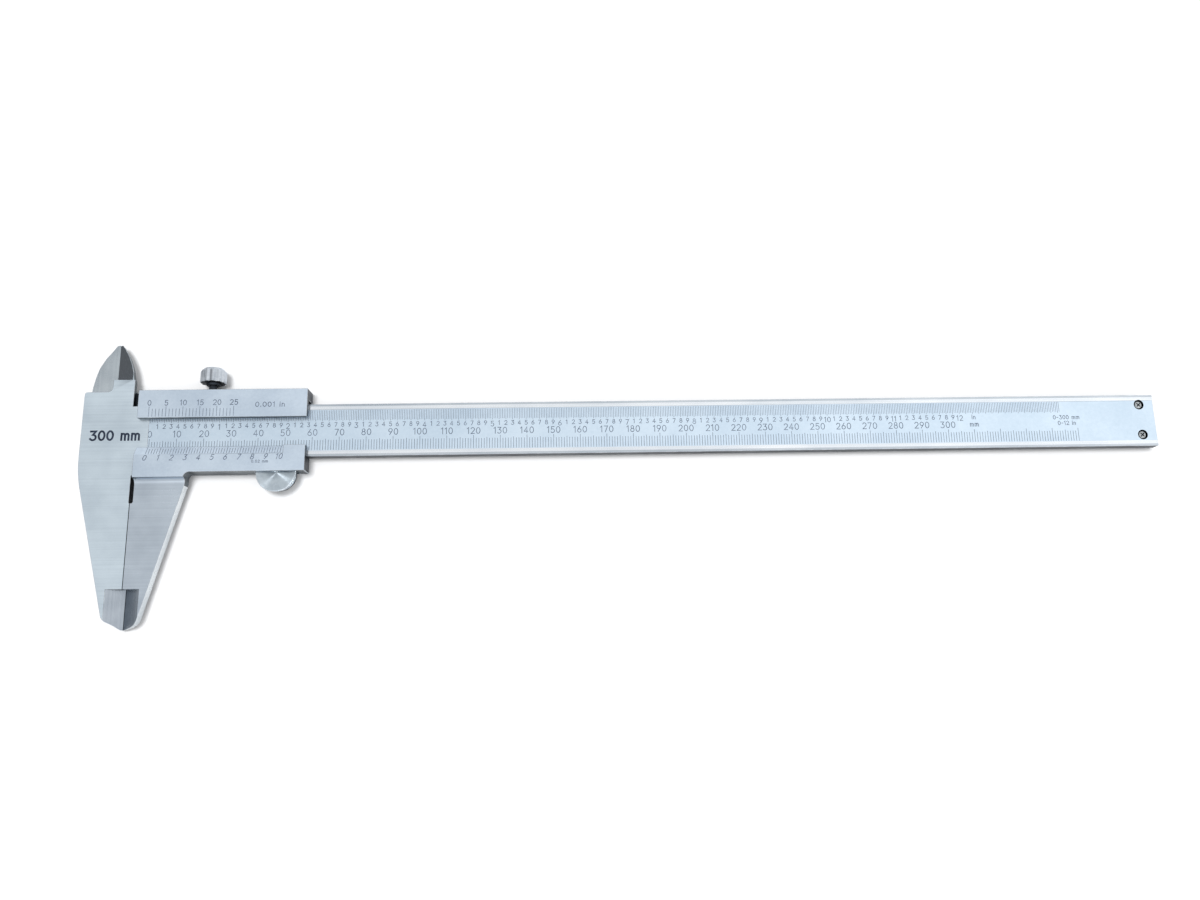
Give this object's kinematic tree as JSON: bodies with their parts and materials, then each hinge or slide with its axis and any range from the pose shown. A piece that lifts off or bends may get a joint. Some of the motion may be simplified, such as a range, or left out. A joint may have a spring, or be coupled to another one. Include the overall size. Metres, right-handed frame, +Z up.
{
  "type": "vernier caliper",
  "caption": "Sliding vernier caliper with outside and inside jaws, depth rod, lock screw and thumb wheel, lying flat on its back.",
  "frame": {"origin": "centre of the bottom of the bounding box with the jaws closed; the caliper lies on its back on z = 0, graduated face up", "axes": "+X along the beam from the head to its free end, the way the slider opens; +Y in the plane of the caliper from the outside jaws to the inside jaws; +Z up, out of the graduated face"},
  "size_m": [0.4056, 0.1072, 0.0097],
  "materials": {
    "satin_steel": "satin, fine grain along the beam",
    "ground_steel": "ground",
    "screw_steel": "turned, slightly dull",
    "slider_steel": "satin",
    "plate_steel": "brushed",
    "rivet_steel": "dull",
    "gib_bronze": "satin",
    "knob_steel": "turned",
    "wheel_steel": "turned in rings"
  },
  "bodies": {
    "frame": {"beam": "satin_steel", "end_stop_plate": "ground_steel", "end_stop_screw_upper": "screw_steel", "end_stop_screw_lower": "screw_steel"},
    "slider": {"slider_body": "slider_steel", "slider_back_plate": "plate_steel", "back_plate_screw_1": "screw_steel", "back_plate_screw_2": "screw_steel", "back_plate_screw_3": "screw_steel", "back_plate_screw_4": "screw_steel", "depth_rod": "ground_steel", "depth_rod_rivet_1": "rivet_steel", "depth_rod_rivet_2": "rivet_steel", "gib_screw_left": "screw_steel", "gib_screw_right": "screw_steel", "thumb_wheel_axle": "ground_steel", "thumb_wheel_bracket": "plate_steel", "bracket_screw_1": "screw_steel", "bracket_screw_2": "screw_steel"},
    "gib": {"gib_strip": "gib_bronze"},
    "lock": {"lock_screw": "knob_steel"},
    "wheel": {"thumb_wheel": "wheel_steel"}
  },
  "joints": [
    {"name": "slider_travel", "type": "slide", "parent": "frame", "child": "slider", "axis": [1, 0, 0], "range_m": [0, 0.306]},
    {"name": "gib_press", "type": "slide", "parent": "slider", "child": "gib", "axis": [0, 1, 0], "range_m": [-0.00003, 0.00022]},
    {"name": "lock_screw_turn", "type": "hinge", "parent": "gib", "child": "lock", "pos_m": [-0.15577, 0.0399, 0.005], "axis": [0, 1, 0], "range_deg": [-21.7, 158.5]},
    {"name": "thumb_wheel_spin", "type": "hinge", "parent": "slider", "child": "wheel", "pos_m": [-0.13012, 0.003, 0.004], "axis": [0, 0, 1], "range_deg": [-5, 3010]}
  ],
  "couplings": [
    {"joint": "thumb_wheel_spin", "follows": "slider_travel", "rad_per_m": 170.36},
    {"joint": "lock_screw_turn", "follows": "gib_press", "rad_per_m": 12566}
  ]
}
